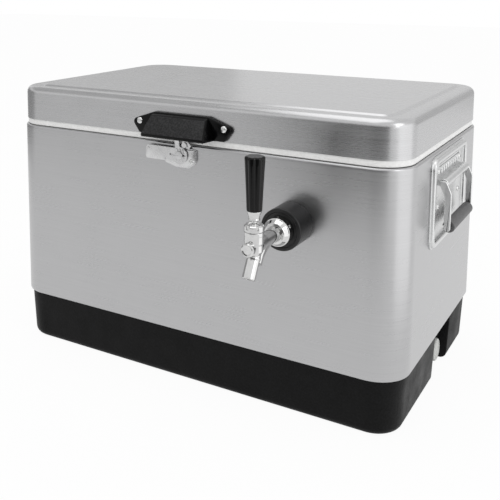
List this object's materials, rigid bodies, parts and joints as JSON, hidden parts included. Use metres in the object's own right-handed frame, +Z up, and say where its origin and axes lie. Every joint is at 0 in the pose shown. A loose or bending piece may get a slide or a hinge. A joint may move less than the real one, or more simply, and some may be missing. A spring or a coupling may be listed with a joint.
{
  "type": "jockey box beer cooler",
  "caption": "Insulated steel-belted cooler with a cooling coil inside and a lever beer faucet on its front, with a hinged latched lid and side bail handles.",
  "frame": {"origin": "centre of the flat underside of the base, on the floor", "axes": "+Z up; the faucet and latch face -Y; +X to the right seen from the front, along the box's longest side"},
  "size_m": [0.658, 0.5582, 0.4],
  "materials": {
    "black_base": "pebbled moulded HDPE",
    "belt_steel": "horizontal brushed stainless sheet",
    "lid_steel": "fine brushed stainless sheet",
    "foam": "closed cell polyurethane foam",
    "white_liner": "smooth moulded",
    "grey_plastic": "moulded",
    "drain_cap_plastic": "moulded",
    "black_rubber": "smooth",
    "gasket": "soft smooth",
    "black_cover": "pebbled panel with glossy ends",
    "screw_steel": "plated",
    "latch_steel": "pressed, satin to polished",
    "polished_plate": "polished stainless",
    "grip_rubber": "satin moulded",
    "hinge_steel": "stamped",
    "black_collar": "moulded, satin",
    "chrome_fitting": "polished plate",
    "brass_nut": "machined",
    "black_handle": "fluted moulded",
    "coil_steel": "drawn tube",
    "hose_vinyl": "clear vinyl"
  },
  "bodies": {
    "box": {"base_tub": "black_base", "steel_belt": "belt_steel", "body_foam": "foam", "inner_liner": "white_liner", "drain_spout": "grey_plastic", "drain_washer": "black_rubber", "latch_plate": "latch_steel", "latch_rivet": "screw_steel", "latch_screws": "screw_steel", "handle_plate_right": "polished_plate", "handle_plate_left": "polished_plate", "handle_screws": "screw_steel", "hinge_body_leaves": "hinge_steel", "hinge_pins": "screw_steel", "hinge_body_screws": "screw_steel", "tap_collar": "black_collar", "tap_shank": "chrome_fitting", "tap_lock_nut": "chrome_fitting", "coupling_nut": "chrome_fitting", "faucet_body": "chrome_fitting", "faucet_bonnet": "chrome_fitting", "tap_tailpiece": "chrome_fitting", "tap_tail_nut": "brass_nut", "inlet_shank": "chrome_fitting", "inlet_collar": "black_collar", "inlet_lock_nut": "chrome_fitting", "inlet_tailpiece": "chrome_fitting", "inlet_tail_nut": "brass_nut", "cooling_coil": "coil_steel", "tap_hose": "hose_vinyl", "inlet_hose": "hose_vinyl", "hose_clamps": "screw_steel"},
    "lid": {"lid_skin": "lid_steel", "lid_foam": "foam", "lid_liner": "white_liner", "lid_gasket": "gasket", "lid_cover": "black_cover", "lid_cover_screws": "screw_steel", "latch_strike": "latch_steel", "hinge_lid_leaves": "hinge_steel", "hinge_lid_screws": "screw_steel"},
    "latch": {"latch_lever": "latch_steel"},
    "handle_right": {"bail_right": "polished_plate", "grip_right": "grip_rubber"},
    "handle_left": {"bail_left": "polished_plate", "grip_left": "grip_rubber"},
    "tap": {"tap_lever": "chrome_fitting", "tap_ferrule": "chrome_fitting", "tap_handle": "black_handle"},
    "valve": {"valve_shaft": "chrome_fitting", "valve_washer": "black_rubber"},
    "cap": {"drain_cap": "drain_cap_plastic"}
  },
  "joints": [
    {"name": "lid_hinge", "type": "hinge", "parent": "box", "child": "lid", "pos_m": [0, 0.2, 0.344], "axis": [-1, 0, 0], "range_deg": [0, 100]},
    {"name": "latch_turn", "type": "hinge", "parent": "box", "child": "latch", "pos_m": [0, -0.2, 0.326], "axis": [0, -1, 0], "range_deg": [0, 90]},
    {"name": "right_handle_swing", "type": "hinge", "parent": "box", "child": "handle_right", "pos_m": [0.314, 0, 0.298], "axis": [0, -1, 0], "range_deg": [0, 95]},
    {"name": "left_handle_swing", "type": "hinge", "parent": "box", "child": "handle_left", "pos_m": [-0.314, 0, 0.298], "axis": [0, 1, 0], "range_deg": [0, 95]},
    {"name": "tap_pull", "type": "hinge", "parent": "box", "child": "tap", "pos_m": [0.165, -0.305, 0.281], "axis": [1, 0, 0], "range_deg": [0, 26]},
    {"name": "valve_slide", "type": "slide", "parent": "box", "child": "valve", "axis": [0, 1, 0], "range_m": [0, 0.0073]},
    {"name": "drain_cap_pull", "type": "slide", "parent": "box", "child": "cap", "axis": [1, 0, 0], "range_m": [0, 0.014]}
  ],
  "couplings": [
    {"joint": "valve_slide", "follows": "tap_pull", "m_per_rad": 0.016}
  ]
}
